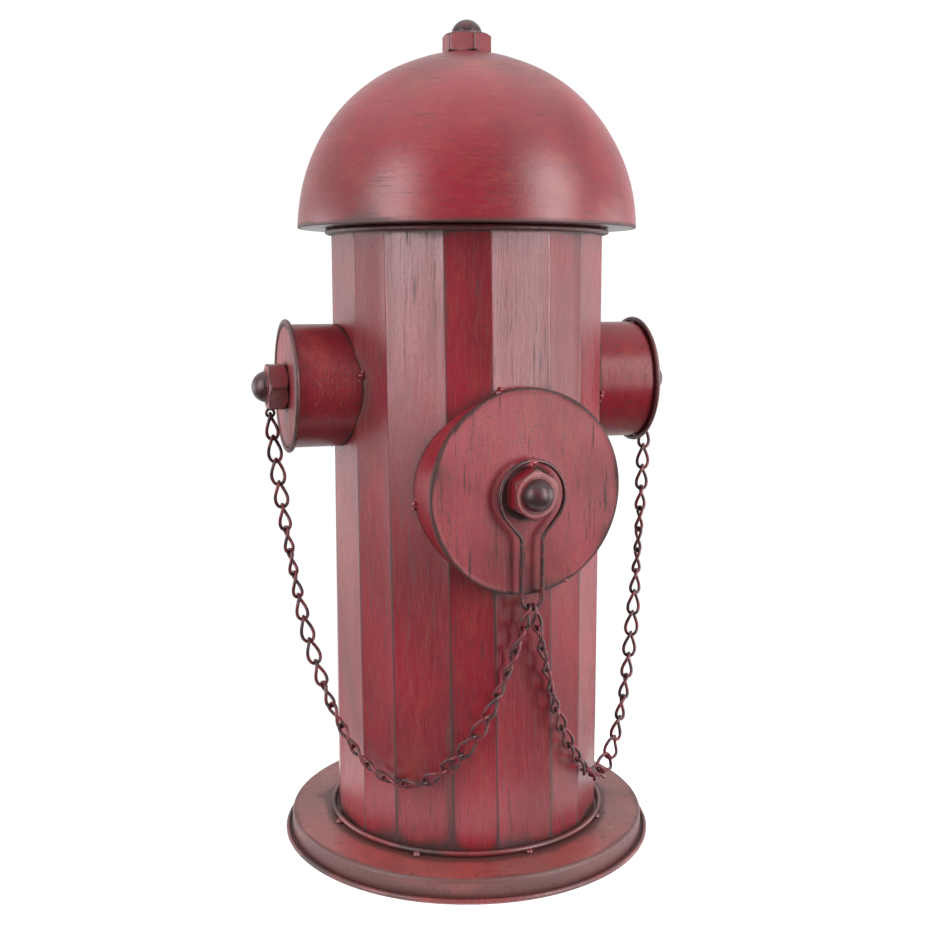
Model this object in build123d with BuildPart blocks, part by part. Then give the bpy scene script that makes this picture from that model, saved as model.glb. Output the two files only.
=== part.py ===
"""Sheet-metal fire hydrant ornament with a lift-off domed lid, in millimetres.

A folded many-sided tube stands on a round pan. A domed lid with a nut and ball finial rests on the tube's
wired mouth. Two side outlets and one wide front outlet are closed by caps, each with a nut and a ball. A wire
hanger on the front cap holds the ends of two chains, which hang from eyes under the side nuts.

Frame: +Z up, origin at the middle of the base on the ground, side outlets along -X and +X, front towards -Y.
"""

from build123d import *
import math
import os

import numpy as np

# ---- sheet, wire and gaps ----
SHEET = 0.8  # wall of the body, pan, drums and caps
DOME_SHEET = 1.0
WELD_GAP = 0.05  # room between two pieces that are welded or pressed together
REST_GAP = 0.3  # room between the lid and what it rests on

# ---- base ----
PAN_RADIUS = 81.2
PAN_HEIGHT = 9.7
PAN_CORNER = 2.0
PAN_LIP = 1.0  # the lip stands this far out of the pan's wall
RIM_WIRE = 2.2
FOOT_WIRE = 2.2
FOOT_RING_PLAY = 1.0  # between the body's folds and the foot ring
FOOT_RING_LIFT = 0.7  # between the pan and the foot ring
FOOT_TACKS = 8
FOOT_TACK_START = 8.0  # direction of the first tack
FOOT_TACK_RADIUS = 1.2
FOOT_TACK_HEIGHT = 1.4

# ---- body ----
BODY_RADIUS = 60.0  # over the folds
BODY_TOP = 272.3
NARROW_FACET = 18.0  # degrees
NARROW_FACETS = 9
BODY_TWIST = 3.9  # degrees that the folds turn from foot to mouth
FRONT_FACET = -103.4  # direction of the middle narrow facet at the foot
LAP_ANGLE = 6.0
MOUTH_WIRE = 2.4

# ---- lid ----
DOME_RADIUS = 74.1
DOME_SKIRT = 0.9  # height of the straight edge below the dome
LID_BAND_PLAY = 1.0
LID_BAND_DEPTH = 9.0

# ---- nuts and balls ----
NUT_FLATS = 19.0
NUT_HEIGHT = 8.4
NUT_BORE = 10.2
NUT_CHAMFER = 1.0
BALL_RADIUS = 6.9
BALL_SEAT = 1.0  # lowest point of the ball above the nut's inner face

# ---- outlets ----
SIDE_REACH = 81.5  # axis of the body to a side cap's face
CAP_BEAD = 2.2
LEFT_DRUM = 26.5
LEFT_DROP = 65.9  # mouth of the body down to the outlet's axis
RIGHT_DRUM = 26.5
RIGHT_DROP = 66.2
FRONT_REACH = 63.2
FRONT_DRUM = 41.9
FRONT_DROP = 106.5
FRONT_AZIMUTH = -84.0
FRONT_FLANGE = 2.2  # depth of the front cap's turned edge
COPE_GAP = 0.3  # between a drum's coped end and the body's folds

# ---- hanger, eyes and chains ----
HANGER_WIRE = 1.8
HANGER_STANDOFF = 4.0  # front cap's face to the hanger's middle plane
HANGER_LOOP = 14.6
HANGER_LOOP_DROP = 1.0
HANGER_LOOP_OPEN = 50.0  # degrees from straight down where the loop turns towards the legs
HANGER_LEG = 4.7  # half the distance between the legs
HANGER_NECK = 3.5
HANGER_LENGTH = 48.0  # nut's axis to the bottom of the hanger
EYE_WIRE = 1.2
EYE_RADIUS = 1.7
EYE_SINK = 0.5  # how deep the eye is welded into the nut
EYE_INSET = 1.5  # nut's outer face to the eye
LINK_WIRE = 1.15
LINK_PITCH = 9.9
LINK_WIDTH = 7.4
LINK_GAP = 0.12
LEFT_LINKS = 28
RIGHT_LINKS = 29
CHAIN_QUARTER_TURNS = 29  # from a chain's first link to its last
HOOK_GAP = 0.35  # an end link to the wire that it hangs on, so that it can swing
HOOK_SPACING = 1.1  # each chain's last link from the middle of the hanger
CHAIN_ROOM = 4.1  # middle of a chain to what it leans on
DRAPE_STEPS = 500
DRAPE_PASSES = 24
DRAPE_FALL = 0.02
DRAPE_DAMPING = 0.98

# ---- weld tacks ----
TACK_RADIUS = 1.8
LEFT_TACKS = (12, 132, 252)  # degrees round the drum
RIGHT_TACKS = (192, 72, 312)
FRONT_TACKS = (105, 187, 300)
LOOP_TACK_RADIUS = 2.4  # joins the hanger's loop to the nut
LEG_TACK_RADIUS = 1.3  # joins the hanger's right leg to the cap's edge
LEG_TACK_TAPER = 4.0
LEG_TACK_SINK = 0.2  # how deep it goes into the cap

LEFT_HEIGHT = BODY_TOP - LEFT_DROP
RIGHT_HEIGHT = BODY_TOP - RIGHT_DROP
FRONT_HEIGHT = BODY_TOP - FRONT_DROP
BALL_LEVEL = BALL_SEAT + BALL_RADIUS  # ball's centre above the nut's inner face
WIDE_FACETS = NARROW_FACETS - 1
WIDE_FACET = (360 - NARROW_FACETS * NARROW_FACET) / WIDE_FACETS
MOUTH_RING_RADIUS = BODY_RADIUS + WELD_GAP + MOUTH_WIRE / 2
LID_UNDERSIDE = BODY_TOP + MOUTH_WIRE / 2 + REST_GAP
DOME_CENTRE = LID_UNDERSIDE + DOME_SKIRT
DOME_TOP = DOME_CENTRE + DOME_RADIUS
BODY_FLAT = (BODY_RADIUS - SHEET) * math.cos(math.radians(WIDE_FACET / 2))
CLEAR_RADIUS = BODY_RADIUS + COPE_GAP


def polar(radius, degrees):
    """Point at a radius and a direction in the XY plane."""
    return radius * math.cos(math.radians(degrees)), radius * math.sin(math.radians(degrees))


def outlet_plane(azimuth, reach, height):
    """Plane on an outlet's axis: its Z points outwards and its Y points up."""
    x, y = polar(1, azimuth)
    return Plane(origin=(x * reach, y * reach, height), x_dir=(-y, x, 0), z_dir=(x, y, 0))


def keep(part, name):
    """Labels a finished piece and writes it."""
    part.label = name
    export_step(part, f"parts/{name}.step")
    return part


os.makedirs("parts", exist_ok=True)


# ---- base pan, its rim and the foot ring ----
with BuildPart() as base_pan:
    with BuildSketch(Plane.XZ):
        with BuildLine():
            Polyline(
                (0, PAN_HEIGHT),
                (PAN_RADIUS, PAN_HEIGHT),
                (PAN_RADIUS, SHEET),
                (PAN_RADIUS + PAN_LIP, SHEET),
                (PAN_RADIUS + PAN_LIP, 0),
                (PAN_RADIUS - SHEET, 0),
                (PAN_RADIUS - SHEET, PAN_HEIGHT - SHEET),
                (0, PAN_HEIGHT - SHEET),
                close=True,
            )
        make_face()
    revolve(axis=Axis.Z)
    fillet(base_pan.edges().filter_by(GeomType.CIRCLE).group_by(Axis.Z)[-2], PAN_CORNER - SHEET)
    fillet(base_pan.edges().filter_by(GeomType.CIRCLE).group_by(Axis.Z)[-1], PAN_CORNER)
keep(base_pan.part, "base_pan")

RIM_RING_RADIUS = PAN_RADIUS + PAN_LIP + WELD_GAP + RIM_WIRE / 2
with BuildPart() as base_rim_ring:
    with Locations((0, 0, RIM_WIRE / 2)):
        Torus(RIM_RING_RADIUS, RIM_WIRE / 2)
keep(base_rim_ring.part, "base_rim_ring")

FOOT_RING_RADIUS = BODY_RADIUS + FOOT_RING_PLAY + FOOT_WIRE / 2
FOOT_RING_HEIGHT = PAN_HEIGHT + FOOT_RING_LIFT + FOOT_WIRE / 2
with BuildPart() as foot_ring:
    with Locations((0, 0, FOOT_RING_HEIGHT)):
        Torus(FOOT_RING_RADIUS, FOOT_WIRE / 2)
keep(foot_ring.part, "foot_ring")

with BuildPart() as foot_ring_tacks:
    with BuildSketch(Plane.XY.offset(PAN_HEIGHT)):
        with PolarLocations(FOOT_RING_RADIUS + FOOT_WIRE / 4, FOOT_TACKS, start_angle=FOOT_TACK_START):
            Circle(FOOT_TACK_RADIUS)
    extrude(amount=FOOT_TACK_HEIGHT)
    fillet(foot_ring_tacks.edges().group_by(Axis.Z)[-1], FOOT_TACK_RADIUS / 3)
keep(foot_ring_tacks.part, "foot_ring_tacks")


# ---- folded body with a lapped seam at the back ----
def fold_outline(radius, turn, lap):
    """Corners of the folded sheet. The seam's lap stands out by lap over the first few degrees."""
    first = FRONT_FACET - NARROW_FACET / 2 - WIDE_FACETS / 2 * (NARROW_FACET + WIDE_FACET) + turn
    corners = [polar(radius, first)]
    if lap:
        lap_cos = math.cos(math.radians(NARROW_FACET / 2))
        lap_far = math.cos(math.radians(NARROW_FACET / 2 - LAP_ANGLE))
        flat = radius * lap_cos / lap_far
        corners = [polar(radius, first), polar(radius + lap, first), polar(flat + lap, first + LAP_ANGLE)]
        corners.append(polar(flat, first + LAP_ANGLE))
    angle = first
    for index in range(NARROW_FACETS + WIDE_FACETS - 1):
        angle += WIDE_FACET if index % 2 else NARROW_FACET
        corners.append(polar(radius, angle))
    return corners


with BuildPart() as body_shell:
    for radius, lap, mode in ((BODY_RADIUS, SHEET, Mode.ADD), (BODY_RADIUS - SHEET, 0, Mode.SUBTRACT)):
        for level, turn in ((PAN_HEIGHT, 0), (BODY_TOP, -BODY_TWIST)):
            with BuildSketch(Plane.XY.offset(level)):
                with BuildLine():
                    Polyline(*fold_outline(radius, turn, lap), close=True)
                make_face()
        loft(ruled=True, mode=mode)
    # the lap stops short of the two rings that go round the body
    for low, high in ((PAN_HEIGHT, FOOT_RING_HEIGHT + FOOT_WIRE), (BODY_TOP - MOUTH_WIRE, BODY_TOP)):
        with BuildSketch(Plane.XY.offset(low)):
            Circle(BODY_RADIUS + 3 * SHEET)
            Circle(BODY_RADIUS, mode=Mode.SUBTRACT)
        extrude(amount=high - low, mode=Mode.SUBTRACT)
keep(body_shell.part, "body_shell")

with BuildPart() as mouth_ring:
    with Locations((0, 0, BODY_TOP)):
        Torus(MOUTH_RING_RADIUS, MOUTH_WIRE / 2)
keep(mouth_ring.part, "mouth_ring")


# ---- lid ----
with BuildPart() as lid_dome:
    with BuildSketch(Plane.XZ):
        with BuildLine():
            inside = DOME_RADIUS - DOME_SHEET
            Line((DOME_RADIUS, LID_UNDERSIDE), (DOME_RADIUS, DOME_CENTRE))
            CenterArc((0, DOME_CENTRE), DOME_RADIUS, 0, 90)
            Line((0, DOME_TOP), (0, DOME_TOP - DOME_SHEET))
            CenterArc((0, DOME_CENTRE), inside, 90, -90)
            Line((inside, DOME_CENTRE), (inside, LID_UNDERSIDE))
            Line((inside, LID_UNDERSIDE), (DOME_RADIUS, LID_UNDERSIDE))
        make_face()
    revolve(axis=Axis.Z)
keep(lid_dome.part, "lid_dome")

with BuildPart() as lid_base_plate:
    with BuildSketch(Plane.XY.offset(LID_UNDERSIDE)):
        Circle(DOME_RADIUS - DOME_SHEET - WELD_GAP)
    extrude(amount=SHEET)
keep(lid_base_plate.part, "lid_base_plate")

with BuildPart() as lid_locating_band:
    with BuildSketch(Plane.XY.offset(LID_UNDERSIDE - LID_BAND_DEPTH)):
        Circle(BODY_FLAT - LID_BAND_PLAY)
        Circle(BODY_FLAT - LID_BAND_PLAY - SHEET, mode=Mode.SUBTRACT)
    extrude(amount=LID_BAND_DEPTH)
    chamfer(lid_locating_band.edges().group_by(Axis.Z)[0], SHEET / 4)
keep(lid_locating_band.part, "lid_locating_band")


# ---- nuts and balls ----
def hex_nut(plane, turn):
    """Nut standing on plane, with its corners turned down and a cup in its outer face for the ball."""
    corner = NUT_FLATS / 2 / math.cos(math.radians(30))
    drop = NUT_CHAMFER * math.tan(math.radians(30))
    with BuildPart() as nut:
        with BuildSketch(plane):
            RegularPolygon(NUT_FLATS / 2, 6, major_radius=False, rotation=turn)
            Circle(NUT_BORE / 2, mode=Mode.SUBTRACT)
        extrude(amount=NUT_HEIGHT)
        with BuildSketch(Plane(plane.origin, x_dir=plane.x_dir, z_dir=-plane.y_dir)):
            with BuildLine():
                Polyline(
                    (0, 0),
                    (corner - NUT_CHAMFER, 0),
                    (corner, drop),
                    (corner, NUT_HEIGHT - drop),
                    (corner - NUT_CHAMFER, NUT_HEIGHT),
                    (0, NUT_HEIGHT),
                    close=True,
                )
            make_face()
        revolve(axis=Axis(plane.origin, plane.z_dir), mode=Mode.INTERSECT)
        with Locations(plane.offset(BALL_LEVEL).location):
            Sphere(BALL_RADIUS + WELD_GAP, mode=Mode.SUBTRACT)
    return nut.part


def cap_ball(plane):
    """Ball sunk in the outer face of the nut that stands on plane."""
    with BuildPart() as ball:
        with Locations(plane.offset(BALL_LEVEL).location):
            Sphere(BALL_RADIUS)
    return ball.part


# the nut's corners reach down to the dome and its underside is hollowed to fit
NUT_CORNER = NUT_FLATS / 2 / math.cos(math.radians(30))
LID_NUT_PLANE = Plane.XY.offset(DOME_CENTRE + math.sqrt(DOME_RADIUS**2 - NUT_CORNER**2))
with BuildPart() as lid_nut:
    add(hex_nut(LID_NUT_PLANE, 30))
    with Locations((0, 0, DOME_CENTRE)):
        Sphere(DOME_RADIUS + WELD_GAP, mode=Mode.SUBTRACT)
keep(lid_nut.part, "lid_nut")
keep(cap_ball(LID_NUT_PLANE), "lid_ball")


# ---- outlets ----
def drum(azimuth, height, radius, reach):
    """Tube from the body's folds out to reach, with its inner end coped round the body."""
    with BuildPart() as tube:
        with BuildSketch(outlet_plane(azimuth, 0, height)):
            Circle(radius)
            Circle(radius - SHEET, mode=Mode.SUBTRACT)
        extrude(amount=reach)
        with Locations((0, 0, height)):
            Cylinder(CLEAR_RADIUS, 3 * radius, mode=Mode.SUBTRACT)
    return tube.part


def chain_eye(plane):
    """Wire ring standing below the nut on plane, and the middle of its wire at the bottom."""
    level = -NUT_FLATS / 2 - EYE_RADIUS + EYE_SINK - EYE_WIRE / 2
    centre = plane.from_local_coords((0, level, NUT_HEIGHT - EYE_INSET))
    with BuildPart() as eye:
        with Locations(Plane(centre, x_dir=plane.z_dir, z_dir=plane.x_dir).location):
            Torus(EYE_RADIUS, EYE_WIRE / 2)
        with Locations(plane.offset(BALL_LEVEL).location):
            Sphere(BALL_RADIUS + WELD_GAP, mode=Mode.SUBTRACT)
    return eye.part, centre - Vector(0, 0, EYE_RADIUS)


# direction, height and drum radius
SIDES = {
    "left": (180, LEFT_HEIGHT, LEFT_DRUM),
    "right": (0, RIGHT_HEIGHT, RIGHT_DRUM),
}
eye_points = {}
for side, (azimuth, height, radius) in SIDES.items():
    keep(drum(azimuth, height, radius, SIDE_REACH - SHEET - WELD_GAP), f"{side}_outlet_drum")

    with BuildPart() as cap_disc:
        with BuildSketch(outlet_plane(azimuth, SIDE_REACH - SHEET, height)):
            Circle(radius)
        extrude(amount=SHEET)
    keep(cap_disc.part, f"{side}_cap_disc")

    with BuildPart() as cap_bead:
        with Locations(outlet_plane(azimuth, SIDE_REACH - SHEET / 2, height).location):
            Torus(radius + WELD_GAP + CAP_BEAD / 2, CAP_BEAD / 2)
    keep(cap_bead.part, f"{side}_cap_bead")

    face = outlet_plane(azimuth, SIDE_REACH + WELD_GAP, height)
    keep(hex_nut(face, 0), f"{side}_cap_nut")
    keep(cap_ball(face), f"{side}_cap_ball")
    eye, eye_points[side] = chain_eye(face)
    keep(eye, f"{side}_chain_eye")

keep(drum(FRONT_AZIMUTH, FRONT_HEIGHT, FRONT_DRUM, FRONT_REACH - SHEET - WELD_GAP), "front_outlet_drum")

FRONT_CAP_RADIUS = FRONT_DRUM + WELD_GAP + SHEET
with BuildPart() as front_cap:
    with BuildSketch(outlet_plane(FRONT_AZIMUTH, FRONT_REACH - FRONT_FLANGE, FRONT_HEIGHT)):
        Circle(FRONT_CAP_RADIUS)
    extrude(amount=FRONT_FLANGE)
    with BuildSketch(outlet_plane(FRONT_AZIMUTH, FRONT_REACH - FRONT_FLANGE, FRONT_HEIGHT)):
        Circle(FRONT_CAP_RADIUS - SHEET)
    extrude(amount=FRONT_FLANGE - SHEET, mode=Mode.SUBTRACT)
    outwards = Axis((0, 0, 0), outlet_plane(FRONT_AZIMUTH, 1, 0).z_dir)
    fillet(front_cap.faces().sort_by(outwards)[-1].edges(), SHEET / 2)
keep(front_cap.part, "front_cap")

front_face = outlet_plane(FRONT_AZIMUTH, FRONT_REACH + WELD_GAP, FRONT_HEIGHT)
keep(hex_nut(front_face, 30), "front_cap_nut")
keep(cap_ball(front_face), "front_cap_ball")


# ---- wire hanger on the front cap ----
hanger_plane = outlet_plane(FRONT_AZIMUTH, FRONT_REACH + HANGER_STANDOFF, FRONT_HEIGHT)
opening = math.radians(HANGER_LOOP_OPEN)
loop_end = Vector(math.sin(opening), -math.cos(opening)) * HANGER_LOOP - Vector(0, HANGER_LOOP_DROP)
neck_run = (loop_end.X - HANGER_LEG) / math.cos(opening)
neck = loop_end - Vector(math.cos(opening), math.sin(opening)) * neck_run
with BuildLine() as hanger_half:
    CenterArc((0, -HANGER_LOOP_DROP), HANGER_LOOP, 90, HANGER_LOOP_OPEN - 180)
    FilletPolyline(loop_end, neck, (HANGER_LEG, HANGER_LEG - HANGER_LENGTH), radius=HANGER_NECK)
    CenterArc((0, HANGER_LEG - HANGER_LENGTH), HANGER_LEG, 0, -90)
hanger_path = hanger_plane.from_local_coords(hanger_half.wires()[0])
with BuildPart() as wire_hanger:
    with BuildSketch(Plane(hanger_path @ 0, z_dir=hanger_path % 0)):
        Circle(HANGER_WIRE / 2)
    sweep(path=hanger_path)
    mirror(about=Plane(hanger_plane.origin, z_dir=hanger_plane.x_dir))
keep(wire_hanger.part, "wire_hanger")


# ---- weld tacks between the drums and the body, and on the hanger ----
drums = (
    (*SIDES["left"], LEFT_TACKS),
    (*SIDES["right"], RIGHT_TACKS),
    (FRONT_AZIMUTH, FRONT_HEIGHT, FRONT_DRUM, FRONT_TACKS),
)
with BuildPart() as outlet_tacks:
    for azimuth, height, radius, turns in drums:
        for turn in turns:
            across, up = polar(radius, turn)
            out = math.sqrt(BODY_RADIUS**2 - across**2)
            with Locations(outlet_plane(azimuth, out, height).from_local_coords((across, up, 0))):
                Sphere(TACK_RADIUS)
keep(outlet_tacks.part, "outlet_tacks")

loop_tack = (0, (NUT_CORNER + HANGER_LOOP - HANGER_LOOP_DROP) / 2, 0)
with BuildPart() as hanger_tacks:
    with Locations(hanger_plane.from_local_coords(loop_tack)):
        Sphere(LOOP_TACK_RADIUS)
    with BuildSketch(hanger_plane.offset(-HANGER_STANDOFF - LEG_TACK_SINK)):
        with Locations((HANGER_LEG, 1 - FRONT_CAP_RADIUS)):
            Circle(LEG_TACK_RADIUS)
    extrude(amount=HANGER_STANDOFF + LEG_TACK_SINK, taper=LEG_TACK_TAPER)
keep(hanger_tacks.part, "hanger_tacks")


# ---- chains ----
def push_off_drum(points, azimuth, height, radius, reach):
    """Moves the points that lie in a drum out through its face or its side, whichever is nearer."""
    axis = np.array([*polar(1, azimuth), 0])
    centre = np.array([0, 0, height])
    along = (points - centre) @ axis
    across = points - centre - along[:, None] * axis
    off_axis = np.linalg.norm(across, axis=1)
    ahead = reach - along
    under = radius - off_axis
    hit = (ahead > 0) & (under > 0) & (along > 0)
    by_face = hit & (ahead < under)
    by_side = hit & (ahead >= under)
    points[by_face] += ahead[by_face, None] * axis
    points[by_side] += across[by_side] * (under / np.maximum(off_axis, 1))[by_side, None]


def drape(start, finish, links, outlets):
    """Joints of a chain that hangs from start to finish and leans on the body and the outlets.

    Its links fall under their weight, keep their pitch and are pushed off what they lean on, over and over.
    Each outlet is the direction, height, radius and reach of a closed drum.
    """
    joints = np.linspace(start, finish, links + 1)
    slack = math.sqrt((links * LINK_PITCH) ** 2 - math.dist(start, finish) ** 2) / 2
    joints[:, 2] -= slack * np.sin(np.linspace(0, math.pi, links + 1))
    previous = joints.copy()
    for step in range(DRAPE_STEPS):
        moved = joints + (joints - previous) * DRAPE_DAMPING
        moved[:, 2] -= DRAPE_FALL
        previous, joints = joints, moved
        for tightening in range(DRAPE_PASSES):
            joints[0], joints[-1] = start, finish
            for first in (0, 1):
                low, high = joints[first:-1:2], joints[first + 1 :: 2]
                run = high - low
                shift = run * (1 - LINK_PITCH / np.linalg.norm(run, axis=1, keepdims=True)) / 2
                low += shift
                high -= shift
            free = joints[1:-1]
            push = (BODY_RADIUS + CHAIN_ROOM) / np.hypot(free[:, 0], free[:, 1])
            free[:, :2] *= np.maximum(1, push)[:, None]
            for azimuth, height, radius, reach in outlets:
                push_off_drum(free, azimuth, height, radius + CHAIN_ROOM, reach + CHAIN_ROOM)
    joints[0], joints[-1] = start, finish
    return joints


with BuildPart() as chain_link:
    bend = (LINK_WIDTH - LINK_WIRE) / 2
    straight = (LINK_PITCH + LINK_WIRE + LINK_GAP) / 2 - bend
    with BuildLine() as link_path:
        Line((-straight, bend), (straight, bend))
        CenterArc((straight, 0), bend, 90, -180)
        Line((straight, -bend), (-straight, -bend))
        CenterArc((-straight, 0), bend, 270, -180)
    with BuildSketch(Plane((-straight, bend, 0), z_dir=(1, 0, 0))):
        Circle(LINK_WIRE / 2)
    sweep(path=link_path.wires()[0])


def link_place(low, high, roll):
    """Where a link lies between two joints. Without roll it lies flat on the body."""
    middle = (low + high) / 2
    along = (high - low) / np.linalg.norm(high - low)
    out = np.array([middle[0], middle[1], 0])
    out -= (out @ along) * along
    out /= np.linalg.norm(out)
    return Plane(tuple(middle), x_dir=tuple(along), z_dir=tuple(out)).location * Rotation(roll, 0, 0)


leaned_on = [(FRONT_AZIMUTH, FRONT_HEIGHT, FRONT_CAP_RADIUS, FRONT_REACH)]
for azimuth, height, radius in SIDES.values():
    leaned_on.append((azimuth, height, radius + CAP_BEAD, SIDE_REACH + CAP_BEAD / 2))
for side, links, way in (("left", LEFT_LINKS, -1), ("right", RIGHT_LINKS, 1)):
    start = eye_points[side] + Vector(0, 0, EYE_WIRE / 2 + HOOK_GAP)
    hook_level = HANGER_WIRE / 2 + HOOK_GAP - HANGER_LENGTH
    finish = hanger_plane.from_local_coords((way * HOOK_SPACING, hook_level, 0))
    joints = drape(tuple(start), tuple(finish), links, leaned_on)
    rolls = np.linspace(0, 90 * CHAIN_QUARTER_TURNS, links)
    places = [link_place(*place) for place in zip(joints[:-1], joints[1:], rolls)]
    keep(Compound([chain_link.part.solid().moved(place) for place in places]), f"{side}_chain_links")
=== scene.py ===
"""Looks of a sheet-metal fire hydrant ornament: red paint with dark worn marks and some painted shade on
folded sheet, wire and nuts.

Every piece but the chains' eyes is a surface worked out with numpy, in metres, in the frame of the CAD model:
+Z up, the origin in the middle of the base on the ground, the front outlet towards -Y.
"""

from __future__ import annotations

import logging
import math
from dataclasses import dataclass
from enum import Enum

import bmesh
import bpy
import numpy as np
from mathutils import Matrix, Vector


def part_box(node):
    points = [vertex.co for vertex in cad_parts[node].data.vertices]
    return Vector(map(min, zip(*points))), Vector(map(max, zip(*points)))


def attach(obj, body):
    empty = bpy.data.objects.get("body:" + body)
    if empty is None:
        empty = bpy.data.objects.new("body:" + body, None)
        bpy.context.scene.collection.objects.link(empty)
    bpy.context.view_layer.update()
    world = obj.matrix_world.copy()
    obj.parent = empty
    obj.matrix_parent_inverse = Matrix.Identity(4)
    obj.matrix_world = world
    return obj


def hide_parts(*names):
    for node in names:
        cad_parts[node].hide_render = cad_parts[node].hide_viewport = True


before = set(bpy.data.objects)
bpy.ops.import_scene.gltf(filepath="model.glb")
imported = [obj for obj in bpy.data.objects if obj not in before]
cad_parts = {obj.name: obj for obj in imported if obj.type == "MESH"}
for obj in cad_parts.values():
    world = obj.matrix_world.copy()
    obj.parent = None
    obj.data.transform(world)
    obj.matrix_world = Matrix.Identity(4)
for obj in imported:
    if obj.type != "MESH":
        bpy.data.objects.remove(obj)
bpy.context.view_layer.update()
LOG = logging.getLogger("hydrant")
MM = 0.001
SHARP_ANGLE = math.radians(38)


class Body(str, Enum):
    """The rigid bodies that a piece can ride on."""

    HYDRANT = "hydrant"
    LID = "lid"
    LEFT_CHAIN = "left_chain"
    RIGHT_CHAIN = "right_chain"


class Slot(str, Enum):
    """Material slots of the record."""

    RED = "red_paint"
    BASE = "base_paint"
    WIRE_EDGE = "worn_edge_paint"
    BALL = "dark_ball"
    CHAIN = "dark_wire"


class Grain(Enum):
    """Which way the paint was rubbed: a scale for the noise along X, Y and Z."""

    UPRIGHT = (1.0, 1.0, 0.05)
    LEVEL = (0.10, 0.10, 2.2)
    ALL_WAYS = (0.7, 0.7, 0.7)


# ---- meshes ----


@dataclass(frozen=True)
class Place:
    """A right-handed set of axes: a point (u, v, w) lies at origin + u across + v up + w out."""

    origin: tuple[float, float, float] = (0.0, 0.0, 0.0)
    across: tuple[float, float, float] = (1.0, 0.0, 0.0)
    up: tuple[float, float, float] = (0.0, 1.0, 0.0)
    out: tuple[float, float, float] = (0.0, 0.0, 1.0)

    def put(self, points: np.ndarray) -> np.ndarray:
        """Moves local points (..., 3) into the frame."""
        axes = np.array([self.across, self.up, self.out])
        return np.asarray(points) @ axes + np.array(self.origin)


def outlet_place(azimuth: float, reach: float, height: float) -> Place:
    """Axes on an outlet.

    Args:
        azimuth: direction of the outlet in degrees from +X.
        reach: distance of the origin from the body's axis.
        height: height of the outlet's axis.

    Returns:
        Axes with w pointing outwards and v pointing up.
    """
    x, y = math.cos(math.radians(azimuth)), math.sin(math.radians(azimuth))
    return Place((x * reach, y * reach, height), (-y, x, 0.0), (0.0, 0.0, 1.0), (x, y, 0.0))


def wander(points: np.ndarray, size: float, pitch: float, seed: int) -> np.ndarray:
    """Smooth unevenness of hand-made sheet: a sum of five sine waves in set directions.

    Args:
        points: points (..., 3).
        size: largest value.
        pitch: wavelength.
        seed: picks the directions.

    Returns:
        One value for each point.
    """
    rng = np.random.default_rng(seed)
    ways = rng.normal(size=(5, 3))
    ways /= np.linalg.norm(ways, axis=1, keepdims=True)
    lengths = pitch * rng.uniform(0.7, 1.5, 5)
    phases = rng.uniform(0, 2 * math.pi, 5)
    waves = np.sin(points @ (ways * (2 * math.pi / lengths[:, None])).T + phases)
    return waves.mean(axis=-1) * size


def rounded(corners: list[tuple[float, float, float]], closed: bool = True, steps: int = 4) -> np.ndarray:
    """Outline whose corners are arcs.

    Args:
        corners: (r, h, radius) for each corner.
        closed: whether the last corner joins the first.
        steps: points on each arc less one.

    Returns:
        Points (n, 2). Each arc touches both of its runs at radius * tan(turn / 2) from the corner.
    """
    flat = np.array([corner[:2] for corner in corners], float)
    out: list[np.ndarray] = []
    for index, (_, _, radius) in enumerate(corners):
        here, before, after = flat[index], flat[index - 1], flat[(index + 1) % len(flat)]
        if radius == 0 or (not closed and index in (0, len(flat) - 1)):
            out.append(here[None])
            continue
        a = (before - here) / np.linalg.norm(before - here)
        b = (after - here) / np.linalg.norm(after - here)
        half = math.acos(max(-1.0, min(1.0, float(a @ b)))) / 2
        centre = here + (a + b) / np.linalg.norm(a + b) * radius / math.sin(half)
        start, end = here + a * radius / math.tan(half), here + b * radius / math.tan(half)
        first = math.atan2(*(start - centre)[::-1])
        turn = math.atan2(*(end - centre)[::-1]) - first
        turn = (turn + math.pi) % (2 * math.pi) - math.pi
        angles = first + turn * np.linspace(0, 1, steps + 1)
        out.append(centre + radius * np.stack([np.cos(angles), np.sin(angles)], 1))
    return np.concatenate(out)


def densified(outline: np.ndarray, spacing: float, closed: bool = True) -> np.ndarray:
    """The same outline with extra points, so that no run is longer than spacing."""
    ends = np.roll(outline, -1, axis=0) if closed else outline[1:]
    parts = []
    for start, end in zip(outline, ends):
        count = max(1, math.ceil(float(np.linalg.norm(end - start)) / spacing))
        parts.append(start + (end - start) * np.arange(count)[:, None] / count)
    if not closed:
        parts.append(outline[-1:])
    return np.concatenate(parts)


def stacked(*parts: np.ndarray | float) -> np.ndarray:
    """Puts coordinates together as points (..., 3), spread to one shape."""
    return np.stack(np.broadcast_arrays(*parts), axis=-1)


def unit_circle(segments: int) -> np.ndarray:
    """Points (n, 3) of a circle of radius 1 about the w axis."""
    angle = np.linspace(0, 2 * math.pi, segments, endpoint=False)
    return stacked(np.cos(angle), np.sin(angle), 0.0)


def unit_ball(rows: int, columns: int) -> np.ndarray:
    """Points (rows, columns, 3) of a ball of radius 1 with its poles on the w axis."""
    polar = np.linspace(0, math.pi, rows)[:, None]
    angle = np.linspace(0, 2 * math.pi, columns, endpoint=False)[None]
    return stacked(np.sin(polar) * np.cos(angle), np.sin(polar) * np.sin(angle), np.cos(polar))


def ring_points(outline: np.ndarray, segments: int) -> np.ndarray:
    """Turns an outline (n, 2) of (r, h) about the w axis: (r cos a, r sin a, h) for each angle a."""
    circle = unit_circle(segments)[:, None]
    return stacked(circle[..., 0] * outline[:, 0], circle[..., 1] * outline[:, 0], outline[:, 1])


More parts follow.
